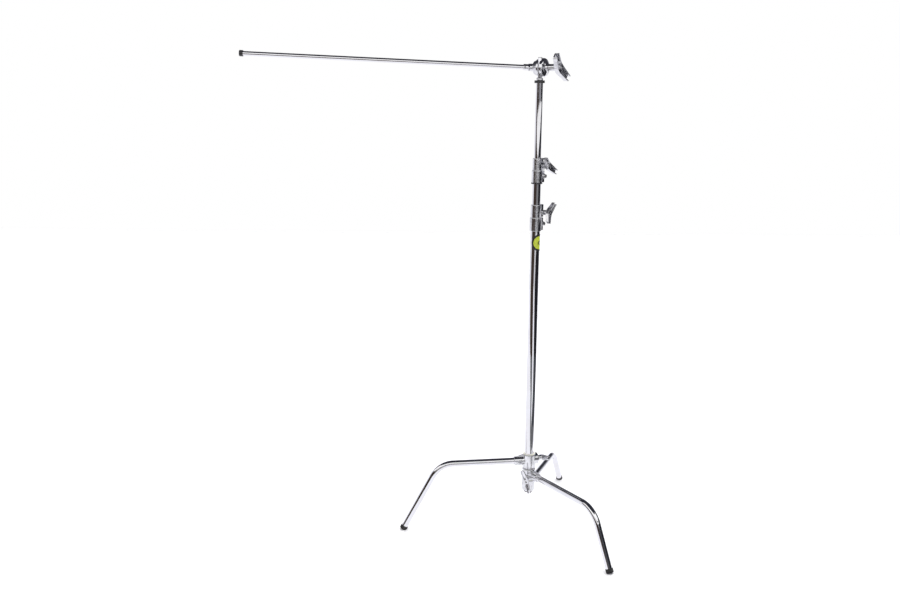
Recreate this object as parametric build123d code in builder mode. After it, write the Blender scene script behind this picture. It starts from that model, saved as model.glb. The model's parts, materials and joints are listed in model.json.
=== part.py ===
"""Chromed century stand with a sliding leg, two risers and a 40 inch grip arm.

Millimetres, +Z up.  The origin is on the floor, under the column's axis.  The arm
points along -X and azimuths are counted from +X towards +Y.
"""
import os
from math import cos, pi, radians, sin

from build123d import *

os.makedirs("parts", exist_ok=True)

# ---------------------------------------------------------------- driving dimensions
RUN = 0.05                 # radial clearance of every running fit
AIR = 0.3                  # gap between faces that pass each other

COLUMN_R = 17.5            # 35 mm column
RISER_1_R = 15.0           # 30 mm riser
RISER_2_R = 12.5           # 25 mm riser
WALL = 1.5                 # wall of the column, the risers and the legs
LEG_R = 12.5               # 25 mm leg tube
PIN_R = 7.94               # 5/8 inch pin and arm rod

COLUMN_BOTTOM = 138.0
LOWER_COLLAR_Z = 1168.0    # underside of the lower collar
LOWER_COLLAR_H = 96.0
UPPER_COLLAR_Z = 1345.0    # underside of the upper collar
UPPER_COLLAR_H = 88.0
RISER_1_BOTTOM = 300.0
RISER_2_BOTTOM = 640.0
RISER_2_TOP = 1708.0
PIN_TOP = 1788.0

HUB_H = 42.0               # height of the two lower leg castings
SLIDE_HUB_H = 54.0         # height of the sliding bracket
LOW_HUB_Z = 143.0          # underside of each leg casting
MID_HUB_Z = 188.0
SLIDE_HUB_Z = 236.0

LEG_BEND_R = 92.0          # centre-line radius of the leg's bend
SOCKET_END = 60.0          # how far a casting's leg socket reaches from the axis
LEG_START = 27.0           # where a leg's tube starts inside its socket

ARM_TILT = 2.31            # how far the arm rises towards its tip, degrees
HEAD_Z = 1753.0            # height of the grip head's clamp axis
HEAD_AZ = -33.0            # azimuth of the grip head's clamp axis
PLATE_R = 33.0             # 2.5 inch grip head plates
JAW_GAP = 4.0              # between the plates' flat faces
GROOVE_R = 8.0             # the plates' 16 mm grooves
GROOVE_OFFSET = 17.0       # from the clamp axis to each groove
BOLT_R = 6.0               # grip head's clamp bolt

COLLAR_AZ = 55.0           # azimuth of the collars' clamp lugs
SCREW_R = 4.0              # M8 clamp screws


# ---------------------------------------------------------------- helpers
def direction(azimuth):
    """Horizontal unit vector at an azimuth."""
    return Vector(cos(radians(azimuth)), sin(radians(azimuth)), 0)


def axis_plane(origin, along, span=(0, 0, 1), roll=0.0):
    """Plane whose normal is `along`; its X lies along `span`, turned by `roll`."""
    turned = Vector(span).rotate(Axis((0, 0, 0), along), roll)
    return Plane(origin=origin, x_dir=turned, z_dir=along)


def side_plane(frame):
    """Plane through a frame's X and Z axes, with the frame's Z as its own Y."""
    return Plane(origin=frame.origin, x_dir=frame.x_dir, z_dir=-frame.y_dir)


def save(piece, name):
    """Label a finished piece and write it as a STEP file."""
    piece.part.label = name
    export_step(piece.part, f"parts/{name}.step")


def sleeve(name, outer, inner, bottom, height):
    """Plain round sleeve or ring about the column's axis."""
    with BuildPart() as ring:
        with BuildSketch(Plane.XY.offset(bottom)):
            Circle(outer)
            Circle(inner, mode=Mode.SUBTRACT)
        extrude(amount=height)
    save(ring, name)
    return ring


def rod(name, frame, radius, length, head_r=0.0, head_h=0.0, socket_r=0.0):
    """Round screw or rod along a frame's Z, with an optional socket head at its end."""
    with BuildPart() as piece:
        with BuildSketch(frame):
            Circle(radius)
        extrude(amount=length)
        if head_r:
            with BuildSketch(frame.offset(length)):
                Circle(head_r)
            extrude(amount=head_h)
            chamfer(piece.faces().sort_by(Axis(frame.origin, frame.z_dir))[-1].edges(), head_h * 0.12)
        if socket_r:
            with BuildSketch(frame.offset(length + head_h)):
                RegularPolygon(socket_r, 6)
            extrude(amount=-max(head_h, 5.0) * 0.6, mode=Mode.SUBTRACT)
    save(piece, name)
    return piece


# ---------------------------------------------------------------- wing handles
HUB_R = 9.5
WING_TAPER = 0.74          # the wing's width at its tips, as a share of its width at the hub
WING_RISE = 9.0            # how far the wing tips sweep away from the stand
WING_T = 12.0              # depth of the channel's walls
WING_WEB = 3.5             # thickness of the channel's floor
WING_SIDE = 2.8            # thickness of the channel's walls


def wing_handle(name, frame, span, width, hub_length, hub_r=HUB_R, bore=0.0, scale=1.0):
    """Cast wing handle: a round hub with a channel-section wing across its outer end.

    The frame's Z is the screw's axis, its X lies along the wing, and its origin is on
    the hub's inner face.
    """
    half = span / 2
    rise = WING_RISE * scale
    depth = WING_T * scale
    root = hub_length - 0.5 * depth
    crown = hub_length + 0.5 * depth
    side = side_plane(frame)
    web = WING_WEB * scale
    tip_width = WING_TAPER * width
    with BuildPart() as handle:
        with BuildSketch(side):
            with BuildLine():
                Polyline((0, root), (hub_r * 0.9, root), (half * 0.72, root + 0.8 * rise), (half, root + rise))
                Line((half, root + rise), (half - 1.5, crown + rise))
                Spline((half - 1.5, crown + rise), (half * 0.55, crown + 0.45 * rise), (0, crown),
                       tangents=[(-1, -0.5), (-1, 0)])
                Line((0, crown), (0, root))
            make_face()
            mirror(about=Plane.YZ)
        extrude(amount=width / 2, both=True)
        with BuildSketch(frame):
            with BuildLine():
                Polyline((-half + 4, -tip_width / 2), (-hub_r, -width / 2), (hub_r, -width / 2),
                         (half - 4, -tip_width / 2))
                RadiusArc((half - 4, -tip_width / 2), (half - 4, tip_width / 2), -half * 0.3)
                Polyline((half - 4, tip_width / 2), (hub_r, width / 2), (-hub_r, width / 2),
                         (-half + 4, tip_width / 2))
                RadiusArc((-half + 4, tip_width / 2), (-half + 4, -tip_width / 2), -half * 0.3)
            make_face()
        extrude(amount=crown + rise + 5, mode=Mode.INTERSECT)
        for sign in (-1, 1):
            with BuildSketch(side):
                with BuildLine():
                    Polyline((sign * hub_r * 0.8, crown + 1),
                             (sign * hub_r * 0.8, root + web + 1),
                             (sign * half * 0.72, root + web + 0.8 * rise),
                             (sign * (half + 2), root + web + rise),
                             (sign * (half + 2), crown + 2 * rise),
                             (sign * hub_r * 0.8, crown + 2 * rise),
                             close=True)
                make_face()
            extrude(amount=tip_width / 2 - WING_SIDE * scale, both=True, mode=Mode.SUBTRACT)
        with BuildSketch(frame):
            Circle(hub_r)
        extrude(amount=crown)
        if bore:
            with BuildSketch(frame):
                Circle(bore)
            extrude(amount=crown + 1, mode=Mode.SUBTRACT)
    save(handle, name)
    return handle


# ---------------------------------------------------------------- column
with BuildPart() as column_tube:
    with BuildSketch(Plane.XY.offset(COLUMN_BOTTOM)):
        Circle(COLUMN_R)
        Circle(COLUMN_R - WALL, mode=Mode.SUBTRACT)
    extrude(amount=LOWER_COLLAR_Z + LOWER_COLLAR_H / 2 - COLUMN_BOTTOM)
save(column_tube, "column_tube")

with BuildPart() as column_plug:
    with BuildSketch(Plane.XY.offset(COLUMN_BOTTOM - 5)):
        Circle(COLUMN_R)
    extrude(amount=5)
    with BuildSketch(Plane.XY.offset(COLUMN_BOTTOM)):
        Circle(COLUMN_R - WALL)
    extrude(amount=16)
    chamfer(column_plug.edges().sort_by(Axis.Z)[0], 2)
save(column_plug, "column_plug")


# ---------------------------------------------------------------- legs
def leg(name, azimuth, height, bend_at, foot_at):
    """Bent leg tube and its rubber cap, in the upright plane at an azimuth.

    `bend_at` and `foot_at` are the radii where the straight centre lines meet each
    other and the floor.  The cap has a small flat where it stands.
    """
    upright = Plane(origin=(0, 0, 0), x_dir=direction(azimuth), z_dir=direction(azimuth - 90))
    slope = Vector(foot_at - bend_at, -height).normalized()
    end = Vector(foot_at, 0) - slope * 9
    with BuildPart() as tube:
        with BuildLine(upright) as path:
            FilletPolyline((LEG_START, height), (bend_at, height), (end.X, end.Y), radius=LEG_BEND_R)
        with BuildSketch(Plane(origin=path.line @ 0, z_dir=path.line % 0)):
            Circle(LEG_R)
            Circle(LEG_R - WALL, mode=Mode.SUBTRACT)
        sweep(path=path.line)
    save(tube, name + "_leg")

    tip = path.line @ 1
    down = path.line % 1
    with BuildPart() as cap:
        with BuildSketch(Plane(origin=tip - down * FOOT_GRIP, z_dir=down)):
            Circle(FOOT_R)
            Circle(LEG_R, mode=Mode.SUBTRACT)
        extrude(amount=FOOT_GRIP)
        with BuildSketch(Plane(origin=tip, z_dir=down)):
            Circle(FOOT_R)
        extrude(amount=7.5)
        ends = cap.edges().filter_by(GeomType.CIRCLE).sort_by(Axis(tip, down))
        chamfer(ends[-1], 1.5)
        split(bisect_by=Plane.XY, keep=Keep.TOP)
    save(cap, name + "_foot")


FOOT_R = 14.0
FOOT_GRIP = 8.0            # how far a cap covers its leg's tube
LEFT_AZ = 188.13
FRONT_AZ = -55.93
REAR_AZ = 67.5
LEFT_Z = SLIDE_HUB_Z + SLIDE_HUB_H / 2
FRONT_Z = MID_HUB_Z + HUB_H / 2
REAR_Z = LOW_HUB_Z + HUB_H / 2
leg("left", LEFT_AZ, LEFT_Z, 354.0, 496.0)
leg("front", FRONT_AZ, FRONT_Z, 371.0, 473.0)
leg("rear", REAR_AZ, REAR_Z, 346.0, 460.0)


# ---------------------------------------------------------------- leg castings
HUB_OUTER = 25.5
SOCKET_R = 16.5
PAD_REACH = 34.0           # how far the pad round a clamp screw reaches from the axis
SLIDE_BUSH_R = 19.5


def leg_casting(name, azimuth, bottom, height, bore, pad_azimuth=None, pad_z=0.0, pad_r=0.0, gusset=0.0):
    """Hub round the column with a socket for one leg, and a pad for a clamp screw."""
    middle = bottom + height / 2
    out = direction(azimuth)
    with BuildPart() as casting:
        with BuildSketch(Plane.XY.offset(bottom)):
            Circle(HUB_OUTER)
        extrude(amount=height)
        chamfer(casting.faces().filter_by(Axis.Z).edges(), 1.5)
        with BuildSketch(Plane(origin=(0, 0, middle), z_dir=out)):
            Circle(SOCKET_R + 2.5)
        extrude(amount=SOCKET_END, taper=2.4)
        if gusset:
            with BuildSketch(Plane(origin=(0, 0, 0), x_dir=out, z_dir=direction(azimuth - 90))):
                Polygon((0, middle), (SOCKET_END - 2, middle), (SOCKET_END - 2, middle + SOCKET_R - 2),
                        (HUB_OUTER + 4, middle + gusset), (0, middle + gusset), align=None)
            extrude(amount=5, both=True)
        if pad_azimuth is not None:
            pad = Plane(origin=(0, 0, pad_z), z_dir=direction(pad_azimuth))
            with BuildSketch(pad):
                Circle(pad_r)
            extrude(amount=PAD_REACH - 1.5)
            with BuildSketch(pad.offset(PAD_REACH - 1.5)):
                Circle(pad_r)
            extrude(amount=1.5, taper=45)
            split(bisect_by=Plane.XY.offset(bottom), keep=Keep.TOP)
        with BuildSketch(Plane.XY.offset(bottom)):
            Circle(bore)
        extrude(amount=height, mode=Mode.SUBTRACT)
        with BuildSketch(Plane(origin=out * LEG_START + Vector(0, 0, middle), z_dir=out)):
            Circle(LEG_R)
        extrude(amount=SOCKET_END, mode=Mode.SUBTRACT)
        for reach in LEG_SCREWS:
            with BuildSketch(Plane(origin=out * reach + Vector(0, 0, middle - 40), x_dir=out, z_dir=(0, 0, 1))):
                Circle(LEG_SCREW_R)
            extrude(amount=40, mode=Mode.SUBTRACT)
        if pad_azimuth is not None:
            with BuildSketch(Plane(origin=(0, 0, pad_z), z_dir=direction(pad_azimuth))):
                Circle(SCREW_R + RUN)
            extrude(amount=PAD_REACH + 1, mode=Mode.SUBTRACT)
    save(casting, name)


def leg_screws(name, azimuth, middle):
    """Two set screws under a leg socket that hold the leg's tube."""
    with BuildPart() as screws:
        for reach in LEG_SCREWS:
            point = direction(azimuth) * reach + Vector(0, 0, middle - SOCKET_R - 2)
            with BuildSketch(Plane(origin=point, z_dir=(0, 0, 1))):
                Circle(LEG_SCREW_R)
                RegularPolygon(1.8, 6, mode=Mode.SUBTRACT)
            extrude(amount=SOCKET_R + 2 - LEG_R - 0.2)
    save(screws, name)


LEG_SCREWS = (38.0, 51.0)
LEG_SCREW_R = 3.0
BASE_LOCK_AZ = -103.0
BASE_LOCK_Z = 199.0
BRACKET_LOCK_AZ = 20.0
BRACKET_LOCK_Z = 268.0
leg_casting("low_leg_casting", REAR_AZ, LOW_HUB_Z, HUB_H, COLUMN_R)
leg_casting("mid_leg_casting", FRONT_AZ, MID_HUB_Z, HUB_H, COLUMN_R + RUN, BASE_LOCK_AZ, BASE_LOCK_Z, 11.0)
leg_casting("sliding_bracket", LEFT_AZ, SLIDE_HUB_Z, SLIDE_HUB_H, SLIDE_BUSH_R + RUN, BRACKET_LOCK_AZ,
            BRACKET_LOCK_Z, 22.0, 24.0)
leg_screws("rear_leg_screws", REAR_AZ, REAR_Z)
leg_screws("front_leg_screws", FRONT_AZ, FRONT_Z)
leg_screws("left_leg_screws", LEFT_AZ, LEFT_Z)
sleeve("casting_washer", HUB_OUTER - 1, COLUMN_R, LOW_HUB_Z + HUB_H, MID_HUB_Z - LOW_HUB_Z - HUB_H - AIR)

with BuildPart() as sliding_bush:
    with BuildSketch(Plane.XY.offset(SLIDE_HUB_Z)):
        Circle(SLIDE_BUSH_R)
    extrude(amount=SLIDE_HUB_H + AIR)
    with BuildSketch(Plane.XY.offset(SLIDE_HUB_Z + SLIDE_HUB_H + AIR)):
        Circle(HUB_OUTER - 2)
    extrude(amount=1.6)
    with BuildSketch(Plane.XY.offset(SLIDE_HUB_Z)):
        Circle(COLUMN_R + RUN)
    extrude(amount=SLIDE_HUB_H + 10, mode=Mode.SUBTRACT)
save(sliding_bush, "sliding_bush")


# ---------------------------------------------------------------- base clamp screws
def radial_lock(prefix, azimuth, height, inner, span, width, roll, hub_length):
    """Clamp screw and wing handle that point away from the column."""
    face = PAD_REACH + AIR
    frame = axis_plane(direction(azimuth) * face + Vector(0, 0, height), direction(azimuth), roll=roll)
    wing_handle(prefix + "_handle", frame, span, width, hub_length, bore=SCREW_R)
    rod(prefix + "_screw", frame.offset(inner - face), SCREW_R, face + hub_length - inner)


# ---------------------------------------------------------------- split collars
LUG_REACH = 40.0           # how far the clamp lugs reach from the column's axis
LUG_HALF = 12.0            # half the width across both lugs
SLIT = 2.4
BOSS_R = 8.5
PINCH_AT = 0.26            # height of each bolt in a collar, as a share of the collar's height
CLAMP_AT = 0.69
COLLAR_WING_W = 26.0       # width of the collar handles' wings


def split_collar(prefix, bottom, height, lower_bore, upper_bore, roll, span, hub_length, scale):
    """Collar that holds the tube below it for good and clamps the riser above it."""
    lower_r = lower_bore + 4.2
    upper_r = upper_bore + 3.4
    half = height / 2
    radial = direction(COLLAR_AZ)
    across = direction(COLLAR_AZ - 90)
    lug_frame = Plane(origin=(0, 0, bottom), x_dir=radial, z_dir=(0, 0, 1))
    bolt_x = LUG_REACH - 10.0
    with BuildPart() as collar:
        with BuildSketch(Plane(origin=(0, 0, bottom), x_dir=radial, z_dir=across)):
            Polygon((0, 0), (lower_r, 0), (lower_r, half), (upper_r, half), (upper_r, height), (0, height),
                    align=None)
        revolve(axis=Axis.Z)
        with BuildSketch(lug_frame):
            with BuildLine():
                Polyline((0, -LUG_HALF), (LUG_REACH - 6, -LUG_HALF))
                RadiusArc((LUG_REACH - 6, -LUG_HALF), (LUG_REACH - 6, LUG_HALF), -(LUG_HALF + 4))
                Polyline((LUG_REACH - 6, LUG_HALF), (0, LUG_HALF), (0, -LUG_HALF))
            make_face()
        extrude(amount=height)
        chamfer(collar.edges().filter_by(GeomType.CIRCLE).group_by(Axis.Z)[-1], 0.8)
        for share in (PINCH_AT, CLAMP_AT):
            middle = radial * bolt_x + Vector(0, 0, bottom + share * height)
            with BuildSketch(Plane(origin=middle, x_dir=(0, 0, 1), z_dir=across)):
                Circle(BOSS_R)
            extrude(amount=LUG_HALF + 3, both=True)
        for z, bore in ((0, lower_bore), (half, upper_bore)):
            with BuildSketch(lug_frame.offset(z)):
                Circle(bore)
            extrude(amount=half, mode=Mode.SUBTRACT)
        with BuildSketch(lug_frame):
            with Locations((LUG_REACH / 2 + 5, 0)):
                Rectangle(LUG_REACH + 10, SLIT)
        extrude(amount=height, mode=Mode.SUBTRACT)
        with BuildSketch(lug_frame.offset(half - 1.5)):
            with Locations((LUG_REACH, 0)):
                Rectangle(2 * (LUG_REACH - lower_r) + 2, 3 * LUG_HALF)
        extrude(amount=3, mode=Mode.SUBTRACT)
        for share, hole in ((PINCH_AT, SCREW_R), (CLAMP_AT, SCREW_R + RUN)):
            middle = radial * bolt_x + Vector(0, 0, bottom + share * height)
            with BuildSketch(Plane(origin=middle, x_dir=(0, 0, 1), z_dir=across)):
                Circle(hole)
            extrude(amount=3 * LUG_HALF, both=True, mode=Mode.SUBTRACT)
    save(collar, prefix)

    sleeve(prefix + "_bush", upper_bore, upper_bore - 1 + RUN, bottom + half, half - 2)

    face = LUG_HALF + 3
    with BuildPart() as nuts:
        for share, hole in ((PINCH_AT, SCREW_R), (CLAMP_AT, SCREW_R + RUN)):
            seat = radial * bolt_x - across * face + Vector(0, 0, bottom + share * height)
            with BuildSketch(Plane(origin=seat, x_dir=(0, 0, 1), z_dir=-across)):
                RegularPolygon(NUT_R, 6)
                Circle(hole, mode=Mode.SUBTRACT)
            extrude(amount=NUT_H)
    save(nuts, prefix + "_nuts")

    pinch = radial * bolt_x - across * (face + NUT_H) + Vector(0, 0, bottom + PINCH_AT * height)
    rod(prefix + "_pinch_bolt", axis_plane(pinch, across), SCREW_R, 2 * face + NUT_H, 6.5, 6.0, 3.4)

    clamp = radial * bolt_x - across * (face + NUT_H) + Vector(0, 0, bottom + CLAMP_AT * height)
    clamp_frame = axis_plane(clamp, across, roll=roll)
    handle_frame = clamp_frame.offset(2 * face + NUT_H + AIR)
    rod(prefix + "_clamp_screw", clamp_frame, SCREW_R, 2 * face + NUT_H + AIR + hub_length)
    wing_handle(prefix + "_handle", handle_frame, span, COLLAR_WING_W, hub_length, bore=SCREW_R, scale=scale)


NUT_R = 7.5
NUT_H = 6.5

split_collar("lower_collar", LOWER_COLLAR_Z, LOWER_COLLAR_H, COLUMN_R, COLUMN_R - WALL, -32.0, 84.0, 23.0, 1.1)
split_collar("upper_collar", UPPER_COLLAR_Z, UPPER_COLLAR_H, RISER_1_R, RISER_1_R - WALL, 58.0, 98.0, 13.0, 1.2)
radial_lock("base_lock", BASE_LOCK_AZ, BASE_LOCK_Z, COLUMN_R + AIR, 100.0, 19.0, 20.0, 26.0)
radial_lock("bracket_lock", BRACKET_LOCK_AZ, BRACKET_LOCK_Z, SLIDE_BUSH_R + AIR, 80.0, 19.0, 78.0, 24.0)


# ---------------------------------------------------------------- risers
sleeve("riser_1_tube", RISER_1_R, RISER_1_R - WALL, RISER_1_BOTTOM,
       UPPER_COLLAR_Z + UPPER_COLLAR_H / 2 - RISER_1_BOTTOM)
sleeve("riser_2_tube", RISER_2_R, RISER_2_R - WALL, RISER_2_BOTTOM, RISER_2_TOP - RISER_2_BOTTOM)
sleeve("upper_collar_ring", RISER_1_R + 5.5, RISER_1_R, UPPER_COLLAR_Z - 4.0, 4.0)
sleeve("riser_1_bush", COLUMN_R - WALL - RUN, RISER_1_R + RUN, RISER_1_BOTTOM + 2, 30.0)
sleeve("riser_2_bush", RISER_1_R - WALL - RUN, RISER_2_R + RUN, RISER_2_BOTTOM + 2, 30.0)
sleeve("top_ring", 18.5, RISER_2_R, RISER_2_TOP - 9.0, 9.0)

with BuildPart() as baby_pin:
    with BuildSketch(Plane.XZ):
        with BuildLine():
            Polyline((0, RISER_2_TOP - 30), (RISER_2_R - WALL, RISER_2_TOP - 30),
                     (RISER_2_R - WALL, RISER_2_TOP), (RISER_2_R - 0.2, RISER_2_TOP),
                     (RISER_2_R - 0.2, RISER_2_TOP + 3))
            ThreePointArc((RISER_2_R - 0.2, RISER_2_TOP + 3), (RISER_2_R - 1.2, RISER_2_TOP + 7.5),
                          (PIN_R, RISER_2_TOP + 10.5))
            Polyline((PIN_R, RISER_2_TOP + 10.5), (PIN_R, PIN_TOP - 1.5), (PIN_R - 1.5, PIN_TOP), (0, PIN_TOP),
                     (0, RISER_2_TOP - 30))
        make_face()
    revolve(axis=Axis.Z)
save(baby_pin, "baby_pin")


# ---------------------------------------------------------------- label
LABEL_R = 32.0
LABEL_Z = 1125.0
LABEL_AZ = -35.0
LABEL_T = 0.3
LABEL_BANDS = 20

with BuildPart() as label:
    for band in range(LABEL_BANDS):
        low = LABEL_R * (2 * band / LABEL_BANDS - 1)
        middle = low + LABEL_R / LABEL_BANDS
        arc = 2 * (LABEL_R**2 - middle**2) ** 0.5 / COLUMN_R * 180 / pi
        with BuildSketch(Plane.XY.offset(LABEL_Z + low)):
            with BuildLine():
                outer = CenterArc((0, 0), COLUMN_R + LABEL_T, LABEL_AZ - arc / 2, arc)
                inner = CenterArc((0, 0), COLUMN_R, LABEL_AZ - arc / 2, arc)
                Line(outer @ 0, inner @ 0)
                Line(outer @ 1, inner @ 1)
            make_face()
        extrude(amount=2 * LABEL_R / LABEL_BANDS)
save(label, "label")


# ---------------------------------------------------------------- grip head
along = direction(HEAD_AZ)
jaw = Plane(origin=direction(HEAD_AZ + 90) * GROOVE_OFFSET + Vector(0, 0, HEAD_Z),
            x_dir=direction(HEAD_AZ + 90), z_dir=along)
jaw_axis = Axis(jaw.origin, along)
FACE = JAW_GAP / 2
PLATE_RIM = 6.5            # thickness of a plate's rim
SPRING_COIL_R = 7.4
SPRING_POCKET = 6.0
ARM_DIR = Vector(-cos(radians(ARM_TILT)), 0, sin(radians(ARM_TILT)))
ARM_ROOT = jaw.origin - along * 20.0
arm_plane = Plane(origin=ARM_ROOT, x_dir=(0, 1, 0), z_dir=ARM_DIR)
SOCKET_DEPTH = 27.0        # how far the arm's socket reaches from its root
NUT_LENGTH = 6.0
COLLAR_LENGTH = 17.0
ARM_INSERT = 25.0          # where the arm's inner end sits, from the socket's root
ARM_BORE = PIN_R + RUN


def plate(sign, neck_r, neck_end, bolt_hole):
    """Domed jaw plate on one side of the gap, with a vertical groove each side of the bolt."""
    with BuildPart() as piece:
        with BuildSketch(side_plane(jaw)):
            with BuildLine():
                Polyline((0, sign * FACE), (PLATE_R - 1, sign * FACE), (PLATE_R, sign * (FACE + 1)),
                         (PLATE_R, sign * (FACE + PLATE_RIM)))
                Spline((PLATE_R, sign * (FACE + PLATE_RIM)), (neck_r, sign * (neck_end - 2)),
                       tangents=[(-0.25, sign), (-0.35, sign)])
                Polyline((neck_r, sign * (neck_end - 2)), (neck_r, sign * neck_end), (0, sign * neck_end),
                         (0, sign * FACE))
            make_face()
        revolve(axis=jaw_axis)
        if sign < 0:
            with BuildSketch(arm_plane):
                Circle(13.5)
            extrude(amount=SOCKET_DEPTH, taper=1.5)
            with BuildSketch(arm_plane.offset(ARM_INSERT - 10)):
                Circle(ARM_BORE)
            extrude(amount=SOCKET_DEPTH, mode=Mode.SUBTRACT)
        for side in (-1, 1):
            with BuildSketch(Plane(origin=jaw.origin + jaw.x_dir * side * GROOVE_OFFSET - Vector(0, 0, 60))):
                Circle(GROOVE_R)
            extrude(amount=120, mode=Mode.SUBTRACT)
        with BuildSketch(jaw):
            Circle(bolt_hole)
        extrude(amount=sign * (40 if sign > 0 else BOLT_ANCHOR), mode=Mode.SUBTRACT)
        with BuildSketch(jaw):
            Circle(SPRING_COIL_R + 1.2)
        extrude(amount=sign * (FACE + SPRING_POCKET), mode=Mode.SUBTRACT)
    return piece


BOLT_ANCHOR = 16.0
FRONT_NECK = 26.0
THRUST_H = 2.4
HANDLE_START = FRONT_NECK + THRUST_H + AIR
HANDLE_HUB = 36.0
save(plate(-1, 24.0, 28.0, BOLT_R), "head_rear_plate")
save(plate(1, 14.0, FRONT_NECK, BOLT_R + RUN), "head_front_plate")
rod("head_bolt", jaw.offset(-BOLT_ANCHOR), BOLT_R, BOLT_ANCHOR + HANDLE_START + HANDLE_HUB + 5)

with BuildPart() as head_thrust_washer:
    with BuildSketch(jaw.offset(FRONT_NECK)):
        Circle(12.5)
        Circle(BOLT_R + RUN, mode=Mode.SUBTRACT)
    extrude(amount=THRUST_H)
save(head_thrust_washer, "head_thrust_washer")

with BuildPart() as jaw_spring:
    with BuildLine():
        coil = Helix(pitch=2.6, height=11.5, radius=SPRING_COIL_R,
                     center=jaw.origin - along * (FACE + SPRING_POCKET - 0.8), direction=along)
    with BuildSketch(Plane(origin=coil @ 0, z_dir=coil % 0)):
        Circle(0.55)
    sweep(path=coil, is_frenet=True)
save(jaw_spring, "jaw_spring")

head_frame = axis_plane(jaw.origin + along * HANDLE_START, along, roll=51.5)
wing_handle("head_handle", head_frame, 124.0, 36.0, HANDLE_HUB, hub_r=12.0, bore=BOLT_R + RUN, scale=1.5)

with BuildPart() as head_socket_nut:
    with BuildSketch(arm_plane.offset(SOCKET_DEPTH)):
        RegularPolygon(14.2, 6)
        Circle(ARM_BORE, mode=Mode.SUBTRACT)
    extrude(amount=NUT_LENGTH)
save(head_socket_nut, "head_socket_nut")

with BuildPart() as arm_collar:
    with BuildSketch(arm_plane.offset(SOCKET_DEPTH + NUT_LENGTH)):
        Circle(10.8)
        Circle(ARM_BORE, mode=Mode.SUBTRACT)
    extrude(amount=COLLAR_LENGTH)
    set_point = ARM_ROOT + ARM_DIR * (SOCKET_DEPTH + NUT_LENGTH + COLLAR_LENGTH * 0.66)
    with BuildSketch(Plane(origin=set_point, x_dir=(0, 0, 1), z_dir=(0, -1, 0))):
        Circle(LEG_SCREW_R)
    extrude(amount=15, mode=Mode.SUBTRACT)
save(arm_collar, "arm_collar")
rod("arm_set_screw", Plane(origin=set_point - Vector(0, PIN_R + AIR, 0), x_dir=(0, 0, 1), z_dir=(0, -1, 0)),
    LEG_SCREW_R, 2.6, socket_r=1.8)


# ---------------------------------------------------------------- grip arm
ARM_CLEAR = 1016.0         # 40 inches of clear rod beyond its collar
arm_end = SOCKET_DEPTH + NUT_LENGTH + COLLAR_LENGTH + ARM_CLEAR
rod("arm_rod", arm_plane.offset(ARM_INSERT), PIN_R, arm_end - ARM_INSERT)
with BuildPart() as arm_end_cap:
    with BuildSketch(arm_plane.offset(arm_end - 10)):
        Circle(11.0)
        Circle(PIN_R, mode=Mode.SUBTRACT)
    extrude(amount=10)
    with BuildSketch(arm_plane.offset(arm_end)):
        Circle(11.0)
    extrude(amount=3)
    chamfer(arm_end_cap.faces().sort_by(Axis(ARM_ROOT, ARM_DIR))[-1].edges(), 1.2)
save(arm_end_cap, "arm_end_cap")
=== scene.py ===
"""Looks of a sliding-leg lighting stand with a grip head and arm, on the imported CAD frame."""
import json
import math

import bmesh
import bpy
from mathutils import Matrix, Vector

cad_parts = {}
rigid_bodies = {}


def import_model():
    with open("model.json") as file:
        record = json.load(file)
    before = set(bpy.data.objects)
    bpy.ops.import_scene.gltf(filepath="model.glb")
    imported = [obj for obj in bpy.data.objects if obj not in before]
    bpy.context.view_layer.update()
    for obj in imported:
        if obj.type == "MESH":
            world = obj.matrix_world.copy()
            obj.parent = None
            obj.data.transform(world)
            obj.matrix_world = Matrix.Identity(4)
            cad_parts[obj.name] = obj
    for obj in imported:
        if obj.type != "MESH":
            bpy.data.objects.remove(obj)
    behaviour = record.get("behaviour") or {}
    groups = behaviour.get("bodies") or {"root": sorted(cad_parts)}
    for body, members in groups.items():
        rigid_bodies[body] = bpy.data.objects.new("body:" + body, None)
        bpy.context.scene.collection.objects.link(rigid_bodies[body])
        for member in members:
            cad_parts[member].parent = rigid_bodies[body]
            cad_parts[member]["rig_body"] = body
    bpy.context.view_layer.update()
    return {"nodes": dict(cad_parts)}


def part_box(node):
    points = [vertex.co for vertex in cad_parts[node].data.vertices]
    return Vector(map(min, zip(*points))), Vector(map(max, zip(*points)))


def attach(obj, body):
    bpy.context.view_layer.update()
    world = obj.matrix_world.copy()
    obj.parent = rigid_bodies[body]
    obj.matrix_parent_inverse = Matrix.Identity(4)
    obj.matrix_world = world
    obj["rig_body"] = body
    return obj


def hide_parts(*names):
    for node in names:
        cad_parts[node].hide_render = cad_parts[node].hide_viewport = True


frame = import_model()
scene = bpy.context.scene
MM = 0.001

# Camera: where it stands, where it looks, and its lens.
CAMERA_AT = Vector((-0.294, -3.277, 1.629))
CAMERA_AZIMUTH = math.radians(90.35)   # of the line of sight, from +X
CAMERA_PITCH = math.radians(12.5)      # below the horizon
CAMERA_ROLL = math.radians(0.44)
CAMERA_LENS = 35.64

# Castings and rubber feet: the grid their skins are rebuilt on, and how far edges are rounded.
CAST_GRID = 0.7 * MM
CAST_PASSES = 7
RUBBER_GRID = 0.55 * MM
RUBBER_PASSES = 5

# Round label on the column.
LABEL_AZIMUTH = math.radians(-35)
LABEL_BORDER = 7.5 * MM
LABEL_MARK_R = 7.5 * MM
LABEL_MARK_HOLE = 0.45      # of the mark's radius
LABEL_PROUD = 0.3 * MM
LABEL_GAP = 0.02 * MM       # between the label's back and the column
LABEL_SPOKES = 96
LABEL_RINGS = 30


# ---------------------------------------------------------------- materials

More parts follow.
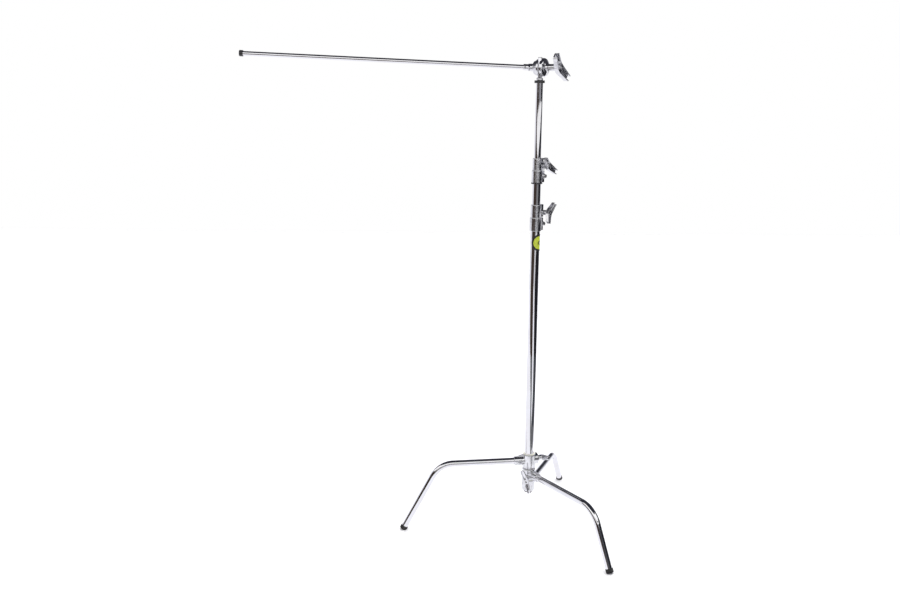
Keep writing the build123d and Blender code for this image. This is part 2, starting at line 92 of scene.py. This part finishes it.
class Finish:
    """A Principled material with the few node recipes that the pieces share."""

    def __init__(self, name, color, roughness, metallic=0.0, **sockets):
        self.material = bpy.data.materials.new(name)
        self.material.use_nodes = True
        self.tree = self.material.node_tree
        self.shader = self.tree.nodes["Principled BSDF"]
        self.shader.inputs["Base Color"].default_value = (*color, 1.0)
        self.shader.inputs["Roughness"].default_value = roughness
        self.shader.inputs["Metallic"].default_value = metallic
        for socket, value in sockets.items():
            self.shader.inputs[socket.replace("_", " ")].default_value = value
        self.coords = self.node("ShaderNodeTexCoord").outputs["Object"]

    def node(self, kind, **settings):
        made = self.tree.nodes.new(kind)
        for key, value in settings.items():
            setattr(made, key, value)
        return made

    def join(self, source, target):
        self.tree.links.new(source, target)

    def noise(self, scale, detail=3.0, stretch=(1, 1, 1), turn=0.0):
        """Noise of `scale` cells a metre, drawn out along axes by `stretch`, turned about Z."""
        mapping = self.node("ShaderNodeMapping", vector_type="TEXTURE")
        mapping.inputs["Rotation"].default_value = (0, 0, turn)
        mapping.inputs["Scale"].default_value = stretch
        texture = self.node("ShaderNodeTexNoise")
        texture.inputs["Scale"].default_value = scale
        texture.inputs["Detail"].default_value = detail
        self.join(self.coords, mapping.inputs["Vector"])
        self.join(mapping.outputs["Vector"], texture.inputs["Vector"])
        return texture.outputs["Fac"]

    def span(self, value, low, high, start, end):
        """Value taken from low..high to start..end, and held at its ends."""
        spread = self.node("ShaderNodeMapRange")
        ends = (("From Min", low), ("From Max", high), ("To Min", start), ("To Max", end))
        for socket, number in ends:
            spread.inputs[socket].default_value = number
        self.join(value, spread.inputs["Value"])
        return spread.outputs["Result"]

    def math(self, operation, first, second):
        """One step of arithmetic between a socket and a socket or number."""
        step = self.node("ShaderNodeMath", operation=operation)
        self.join(first, step.inputs[0])
        if isinstance(second, (int, float)):
            step.inputs[1].default_value = second
        else:
            self.join(second, step.inputs[1])
        return step.outputs["Value"]

    def tint(self, factor, *stops):
        """Colour that runs through (place, colour) stops as the factor goes from 0 to 1."""
        ramp = self.node("ShaderNodeValToRGB")
        elements = ramp.color_ramp.elements
        while len(elements) < len(stops):
            elements.new(0.5)
        for element, (place, color) in zip(elements, stops):
            element.position = place
            element.color = (*color, 1.0)
        self.join(factor, ramp.inputs["Fac"])
        self.join(ramp.outputs["Color"], self.shader.inputs["Base Color"])

    def rough(self, value):
        self.join(value, self.shader.inputs["Roughness"])

    def relief(self, *layers):
        """Bumps laid over one another: (height, depth in metres)."""
        below = None
        for height, depth in layers:
            bump = self.node("ShaderNodeBump")
            bump.inputs["Distance"].default_value = depth
            self.join(height, bump.inputs["Height"])
            if below is not None:
                self.join(below, bump.inputs["Normal"])
            below = bump.outputs["Normal"]
        self.join(below, self.shader.inputs["Normal"])


def chrome_tube(name, stretch, turn=0.0):
    """Bright plated tube: hairline scratches along it, and smudges that dull it in patches."""
    finish = Finish(name, (0.86, 0.86, 0.88), 0.06, 1.0)
    scratches = finish.noise(1500, 2.0, stretch, turn)
    smudges = finish.noise(14, 4.0)
    haze = finish.span(smudges, 0.45, 0.75, 0.035, 0.10)
    lines = finish.span(scratches, 0.55, 0.75, 0.0, 0.07)
    finish.rough(finish.math("ADD", haze, lines))
    finish.tint(smudges, (0.35, (0.86, 0.86, 0.89)), (0.75, (0.80, 0.79, 0.80)))
    finish.relief((scratches, 0.004 * MM))
    return finish.material


def chrome_casting(name):
    """Plated casting: a lumpy skin with fine pores, its edges buffed smoother by handling, with
    painted highlight on its edges and painted shade in its hollows.
    """
    finish = Finish(name, (0.74, 0.74, 0.76), 0.22, 1.0)
    lumps = finish.noise(160, 2.0)
    pores = finish.noise(1100, 3.0)
    grime = finish.noise(45, 4.0)
    edge = finish.node("ShaderNodeNewGeometry").outputs["Pointiness"]
    worn = finish.span(edge, 0.50, 0.56, 0.0, 0.10)
    dull = finish.span(grime, 0.35, 0.70, 0.13, 0.27)
    finish.rough(finish.math("SUBTRACT", dull, worn))
    clean = finish.span(grime, 0.3, 0.75, 0.55, 0.0)
    # Painted highlight and painted shade: pointiness lightens the colour on convex edges and darkens
    # it in hollows and inner corners.
    edge_highlight_hollow_shade = finish.span(edge, 0.46, 0.53, 0.0, 0.45)
    finish.tint(
        finish.math("ADD", clean, edge_highlight_hollow_shade),
        (0.0, (0.40, 0.40, 0.42)),
        (0.5, (0.74, 0.74, 0.76)),
        (1.0, (0.90, 0.90, 0.92)),
    )
    finish.relief((lumps, 0.10 * MM), (pores, 0.02 * MM))
    return finish.material


def black_rubber(name):
    """Moulded rubber, matt and finely pitted, with pale dust and scuffs."""
    finish = Finish(name, (0.02, 0.02, 0.02), 0.75, 0.0, Specular_IOR_Level=0.35)
    dust = finish.noise(90, 5.0)
    grain = finish.noise(1600, 3.0)
    finish.tint(
        dust,
        (0.42, (0.012, 0.012, 0.013)),
        (0.62, (0.030, 0.029, 0.028)),
        (0.80, (0.075, 0.072, 0.068)),
    )
    finish.rough(finish.span(dust, 0.3, 0.8, 0.55, 0.85))
    finish.relief((dust, 0.05 * MM), (grain, 0.04 * MM))
    return finish.material


def black_plastic(name):
    """Injection-moulded plastic with a spark-eroded grain."""
    finish = Finish(name, (0.02, 0.02, 0.022), 0.42, 0.0, Specular_IOR_Level=0.5)
    grain = finish.noise(2200, 2.0)
    handling = finish.noise(60, 4.0)
    finish.tint(handling, (0.40, (0.014, 0.014, 0.016)), (0.80, (0.035, 0.035, 0.037)))
    finish.rough(finish.span(handling, 0.35, 0.75, 0.30, 0.50))
    finish.relief((grain, 0.025 * MM))
    return finish.material


def nylon(name):
    """Natural nylon, slightly see-through, yellowed in patches."""
    finish = Finish(
        name, (0.80, 0.78, 0.70), 0.45, 0.0, Subsurface_Weight=0.12, Subsurface_Scale=1.5 * MM
    )
    age = finish.noise(70, 4.0)
    turning = finish.noise(1800, 2.0, (40, 40, 1))
    finish.tint(age, (0.35, (0.83, 0.82, 0.76)), (0.75, (0.70, 0.66, 0.54)))
    finish.rough(finish.span(age, 0.3, 0.8, 0.38, 0.55))
    finish.relief((turning, 0.012 * MM))
    return finish.material


def plated_steel(name, low, high, roughness):
    """Machined and plated steel: turning marks, and colour that drifts between low and high."""
    finish = Finish(name, high, roughness, 1.0)
    drift = finish.noise(120, 3.0)
    marks = finish.noise(2600, 2.0)
    finish.tint(drift, (0.35, low), (0.70, high))
    finish.rough(finish.span(marks, 0.35, 0.70, roughness * 0.75, roughness * 1.4))
    finish.relief((marks, 0.012 * MM))
    return finish.material


def label_vinyl(name, color, roughness):
    """Printed vinyl with a clear gloss layer, rubbed and finely scratched."""
    finish = Finish(name, color, roughness, 0.0, Coat_Weight=0.5, Coat_Roughness=0.12)
    rubbed = finish.noise(220, 4.0)
    faded = tuple(min(1.0, c * 0.72 + 0.03) for c in color)
    scratches = finish.noise(1900, 2.0, (1, 1, 18))
    finish.tint(rubbed, (0.40, color), (0.85, faded))
    finish.rough(finish.span(scratches, 0.40, 0.70, roughness * 0.8, roughness * 1.4))
    finish.relief((scratches, 0.006 * MM))
    return finish.material


# Degrees from +X. Scratches are drawn out along each tube.
LEG_AZIMUTHS = {"left_leg": 188.13, "front_leg": -55.93, "rear_leg": 67.5}
ACROSS = 1.0
ALONG = 60.0

slots = {
    "chrome_casting": chrome_casting("cast_chrome"),
    "black_rubber": black_rubber("foot_rubber"),
    "black_plastic": black_plastic("moulded_black"),
    "nylon_bush": nylon("natural_nylon"),
    "black_steel": plated_steel("black_oxide", (0.030, 0.028, 0.030), (0.060, 0.058, 0.060), 0.38),
    "zinc_steel": plated_steel("bright_zinc", (0.52, 0.53, 0.56), (0.72, 0.70, 0.66), 0.24),
    "spring_steel": plated_steel("oiled_spring", (0.20, 0.20, 0.21), (0.40, 0.39, 0.38), 0.30),
    "chrome_tube": chrome_tube("tube_chrome", (ACROSS, ACROSS, ALONG)),
}
arm_chrome = chrome_tube("arm_chrome", (ALONG, ACROSS, ACROSS))
leg_chrome = {
    leg: chrome_tube(leg + "_chrome", (ALONG, ACROSS, ACROSS), math.radians(azimuth))
    for leg, azimuth in LEG_AZIMUTHS.items()
}
label_yellow = label_vinyl("label_yellow", (0.50, 0.58, 0.030), 0.30)
label_black = label_vinyl("label_black", (0.012, 0.012, 0.013), 0.32)

node_slot = {node: part.data.materials[0].name for node, part in frame["nodes"].items()}


# ---------------------------------------------------------------- pieces

def finished_mesh(piece):
    """The piece's mesh with its modifiers worked into it."""
    graph = bpy.context.evaluated_depsgraph_get()
    graph.update()
    mesh = bpy.data.meshes.new_from_object(piece.evaluated_get(graph))
    piece.modifiers.clear()
    piece.data = mesh
    return mesh


def stand_in(piece, node):
    """Puts a piece in place of a CAD node, on the same body."""
    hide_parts(node)
    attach(piece, frame["nodes"][node]["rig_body"])
    return piece


def softened(node, grid, passes):
    """The CAD node on an even grid, with its sharp edges and inner corners run out into fillets."""
    piece = bpy.data.objects.new(node + "_skin", frame["nodes"][node].data.copy())
    scene.collection.objects.link(piece)
    remesh = piece.modifiers.new("even_grid", "REMESH")
    remesh.mode = "VOXEL"
    remesh.voxel_size = grid
    remesh.use_smooth_shade = True
    fillets = piece.modifiers.new("fillets", "SMOOTH")
    fillets.factor = 0.5
    fillets.iterations = passes
    mesh = finished_mesh(piece)
    mesh.shade_smooth()
    mesh.materials[0] = slots[node_slot[node]]
    return stand_in(piece, node)


def wrapped_label(node):
    """A round vinyl label bent round the column, with a black border and a plain dark mark."""
    low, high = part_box(node)
    column_low, column_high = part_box("column_tube")
    column_r = (column_high.x - column_low.x) / 2
    centre_z = (low.z + high.z) / 2
    label_r = (high.z - low.z) / 2
    radii = [label_r * (i + 1) / LABEL_RINGS for i in range(LABEL_RINGS)]
    bm = bmesh.new()

    def place(radius, angle, surface_r):
        across = radius * math.sin(angle)
        azimuth = LABEL_AZIMUTH + across / column_r
        height = centre_z + radius * math.cos(angle)
        return bm.verts.new((surface_r * math.cos(azimuth), surface_r * math.sin(azimuth), height))

    def disc(surface_r, outward):
        hub = place(0, 0, surface_r)
        loops = []
        for radius in radii:
            angles = [2 * math.pi * i / LABEL_SPOKES for i in range(LABEL_SPOKES)]
            loops.append([place(radius, angle, surface_r) for angle in angles])
        for i in range(LABEL_SPOKES):
            j = (i + 1) % LABEL_SPOKES
            corner = [hub, loops[0][i], loops[0][j]]
            paint(bm.faces.new(corner if outward else corner[::-1]), 0)
            for k in range(LABEL_RINGS - 1):
                quad = [loops[k][i], loops[k + 1][i], loops[k + 1][j], loops[k][j]]
                paint(bm.faces.new(quad if outward else quad[::-1]), k + 1)
        return loops[-1]

    def paint(face, ring):
        ring_r = label_r * (ring + 0.5) / LABEL_RINGS
        border = ring_r > label_r - LABEL_BORDER
        mark = LABEL_MARK_R * LABEL_MARK_HOLE < ring_r < LABEL_MARK_R
        face.material_index = 1 if border or mark else 0
        face.smooth = True

    outer = disc(column_r + LABEL_PROUD, True)
    inner = disc(column_r + LABEL_GAP, False)
    for i in range(LABEL_SPOKES):
        j = (i + 1) % LABEL_SPOKES
        rim = bm.faces.new([outer[i], inner[i], inner[j], outer[j]])
        rim.material_index = 1
    bmesh.ops.recalc_face_normals(bm, faces=bm.faces)
    mesh = bpy.data.meshes.new("label_vinyl")
    bm.to_mesh(mesh)
    bm.free()
    mesh.materials.append(label_yellow)
    mesh.materials.append(label_black)
    piece = bpy.data.objects.new("label_vinyl", mesh)
    scene.collection.objects.link(piece)
    return stand_in(piece, node)


for node, slot in node_slot.items():
    if slot == "chrome_casting":
        softened(node, CAST_GRID, CAST_PASSES)
    elif slot == "black_rubber":
        softened(node, RUBBER_GRID, RUBBER_PASSES)
    elif slot == "yellow_label":
        wrapped_label(node)
    else:
        material = slots[slot]
        if node in leg_chrome:
            material = leg_chrome[node]
        elif node in ("arm_rod", "arm_collar"):
            material = arm_chrome
        data = frame["nodes"][node].data
        for i in range(len(data.materials)):
            data.materials[i] = material


# ---------------------------------------------------------------- studio

CARD_STEPS = 24
HALF_FLOOR = 8.0


def flat_material(name, color, strength):
    """Light of one colour, for a card that only shows in reflections."""
    material = bpy.data.materials.new(name)
    material.use_nodes = True
    nodes = material.node_tree.nodes
    nodes.clear()
    glow = nodes.new("ShaderNodeEmission")
    glow.inputs["Color"].default_value = (*color, 1.0)
    glow.inputs["Strength"].default_value = strength
    output = nodes.new("ShaderNodeOutputMaterial")
    material.node_tree.links.new(glow.outputs["Emission"], output.inputs["Surface"])
    return material


def stage_mesh(name, corners, faces, material):
    mesh = bpy.data.meshes.new(name)
    mesh.from_pydata(corners, [], faces)
    mesh.materials.append(material)
    card = bpy.data.objects.new(name, mesh)
    scene.collection.objects.link(card)
    return card


def reflection_only(card):
    card.visible_camera = False
    card.visible_diffuse = False
    card.visible_shadow = False
    card.visible_transmission = False
    card.visible_volume_scatter = False


def card(name, rows, color, strength=1.0):
    """A sheet that only reflections show, drawn between arcs about the column.

    Each row is one arc: its distance and height, and where it starts and ends, in
    degrees from the camera's side of the column, positive to its right.
    """
    corners = []
    for distance, height, start, end in rows:
        for i in range(CARD_STEPS + 1):
            angle = CAMERA_SIDE + math.radians(start + (end - start) * i / CARD_STEPS)
            corners.append((distance * math.cos(angle), distance * math.sin(angle), height))
    faces = []
    for row in range(len(rows) - 1):
        for i in range(CARD_STEPS):
            low = row * (CARD_STEPS + 1) + i
            high = low + CARD_STEPS + 1
            faces.append((low, low + 1, high + 1, high))
    reflection_only(stage_mesh(name, corners, faces, flat_material(name, color, strength)))


floor_material = bpy.data.materials.new("studio_floor")
floor_material.use_nodes = True
floor_shader = floor_material.node_tree.nodes["Principled BSDF"]
floor_shader.inputs["Base Color"].default_value = (0.94, 0.94, 0.95, 1.0)
floor_shader.inputs["Roughness"].default_value = 0.7
floor_shader.inputs["Specular IOR Level"].default_value = 0.2
floor_corners = [(x * HALF_FLOOR, y * HALF_FLOOR, 0) for x, y in ((-1, -1), (1, -1), (1, 1), (-1, 1))]
stage_mesh("studio_floor", floor_corners, [(0, 1, 2, 3)], floor_material)

CAMERA_SIDE = math.atan2(CAMERA_AT.y, CAMERA_AT.x)
BROWN = (0.050, 0.036, 0.030)
NEAR_BLACK = (0.014, 0.014, 0.018)
DIM = (0.060, 0.060, 0.070)
SHADE = (0.15, 0.15, 0.16)
WHITE = (1.0, 1.0, 1.0)

# Each card is rows of (distance in metres, height in metres, start and end in degrees).
# The floor as the column shows it: pale, with a dark wedge that opens away from the stand.
card("pale_floor", [(0.01, 0.002, 0, 360), (5.0, 0.002, 0, 360)], (0.95, 0.95, 1.0), 1.08)
card("wedge_tip", [(0.62, 0.003, 36, 44), (0.80, 0.003, 25, 66), (1.10, 0.003, 5, 122)], SHADE)
card("wedge_left", [(1.10, 0.003, 5, 28), (1.63, 0.003, -6, 24), (2.40, 0.003, -36, 14)], SHADE)
card("wedge_right", [(1.10, 0.003, 33, 122), (1.63, 0.003, 52, 138), (2.40, 0.003, 46, 138)], DIM)
card("far_left", [(2.40, 0.003, -36, 14), (3.50, 0.003, -74, 1), (4.60, 0.003, -86, -8)], BROWN)
card("far_right", [(2.40, 0.003, 46, 138), (3.50, 0.003, 31, 132), (4.60, 0.003, 20, 130)], NEAR_BLACK)

# The room behind the camera: a pale wall on the left, brown and black either side of the centre.
card("wall_left", [(4.60, 0.0, -178, -84), (4.60, 2.6, -178, -84)], (0.86, 0.86, 0.92))
card("wall_brown", [(4.60, 0.0, -86, -8), (4.60, 0.7, -84, 0), (4.60, 2.5, -84, 0)], BROWN)
card("wall_door", [(4.60, 0.0, -8, 20), (4.60, 0.50, -4, 26)], (0.72, 0.72, 0.76))
card("wall_grey", [(4.60, 0.50, -4, 26), (4.60, 0.70, 0, 50), (4.60, 0.95, 0, 52)], (0.22, 0.22, 0.23))
card("wall_dim", [(4.60, 0.95, 0, 52), (4.60, 1.66, 0, 52)], DIM)
card("wall_high", [(4.60, 1.66, -30, 40), (4.60, 2.5, -30, 40)], (0.25, 0.25, 0.27))
card(
    "wall_black",
    [(4.60, 0.0, 20, 130), (4.60, 0.35, 26, 130), (4.60, 0.60, 50, 132), (4.60, 2.5, 52, 132)],
    NEAR_BLACK,
)

# Light in front of the stand: a lens-shaped window low down, and a broad sheet above it.
card(
    "window",
    [
        (3.60, 1.22, 6, 16),
        (3.60, 1.29, -24, 36),
        (3.60, 1.36, -40, 56),
        (3.60, 1.46, -50, 72),
        (3.60, 1.54, -44, 82),
        (3.60, 1.60, -8, 92),
        (3.60, 1.64, 34, 96),
    ],
    WHITE,
)
card("front_light", [(3.4, 1.86, -85, 85), (2.9, 3.9, -85, 85)], WHITE, 1.15)


def area_light(name, at, aim, size, energy, color=(1.0, 1.0, 1.0)):
    light = bpy.data.lights.new(name, "AREA")
    light.shape = "RECTANGLE"
    light.size, light.size_y = size
    light.energy = energy
    light.color = color
    lamp = bpy.data.objects.new(name, light)
    lamp.location = at
    lamp.rotation_euler = (Vector(aim) - Vector(at)).to_track_quat("-Z", "Y").to_euler()
    lamp.visible_glossy = False
    scene.collection.objects.link(lamp)


middle = (0.0, 0.0, 0.9)
area_light("key_softbox", (-2.2, -2.6, 3.4), middle, (1.6, 1.6), 60, (1.0, 0.99, 0.97))
area_light("fill_softbox", (2.8, -1.6, 2.6), middle, (1.2, 1.2), 30, (0.96, 0.97, 1.0))

sun = bpy.data.objects.new("overhead_light", bpy.data.lights.new("overhead_light", "SUN"))
sun.data.energy = 4.0
sun.data.angle = math.radians(90)
sun.rotation_euler = (math.radians(-28), math.radians(10), 0)
sun.visible_glossy = False
scene.collection.objects.link(sun)

world = bpy.data.worlds.new("white_studio")
scene.world = world
world.use_nodes = True
sky = world.node_tree
background = sky.nodes["Background"]
direction = sky.nodes.new("ShaderNodeTexCoord")
height = sky.nodes.new("ShaderNodeSeparateXYZ")
shade = sky.nodes.new("ShaderNodeValToRGB")
# The sky in reflections, from the horizon (0) to straight up (1). The camera itself sees white.
SKY = (
    (0.0, (0.50, 0.50, 0.55)),
    (0.12, (0.40, 0.40, 0.44)),
    (0.30, (0.05, 0.05, 0.06)),
    (1.0, (0.03, 0.03, 0.04)),
)
stops = shade.color_ramp.elements
while len(stops) < len(SKY):
    stops.new(0.5)
for stop, (place, color) in zip(stops, SKY):
    stop.position = place
    stop.color = (*color, 1.0)
seen = sky.nodes.new("ShaderNodeLightPath")
choice = sky.nodes.new("ShaderNodeMix")
choice.data_type = "RGBA"
choice.inputs["B"].default_value = (1.0, 1.0, 1.0, 1.0)
sky.links.new(direction.outputs["Generated"], height.inputs["Vector"])
sky.links.new(height.outputs["Z"], shade.inputs["Fac"])
sky.links.new(shade.outputs["Color"], choice.inputs["A"])
sky.links.new(seen.outputs["Is Camera Ray"], choice.inputs["Factor"])
sky.links.new(choice.outputs["Result"], background.inputs["Color"])
background.inputs["Strength"].default_value = 1.0
scene.view_settings.view_transform = "Standard"

# ---------------------------------------------------------------- camera

sight = Vector((
    math.cos(CAMERA_AZIMUTH) * math.cos(CAMERA_PITCH),
    math.sin(CAMERA_AZIMUTH) * math.cos(CAMERA_PITCH),
    -math.sin(CAMERA_PITCH),
))
level_right = sight.cross(Vector((0, 0, 1))).normalized()
level_up = level_right.cross(sight)
right = level_right * math.cos(CAMERA_ROLL) + level_up * math.sin(CAMERA_ROLL)
up = level_up * math.cos(CAMERA_ROLL) - level_right * math.sin(CAMERA_ROLL)
camera = bpy.data.objects.new("camera", bpy.data.cameras.new("camera"))
camera.data.sensor_width = 36
camera.data.lens = CAMERA_LENS
turned = Matrix((right, up, -sight)).transposed().to_4x4()
camera.matrix_world = Matrix.Translation(CAMERA_AT) @ turned
scene.collection.objects.link(camera)
scene.camera = camera
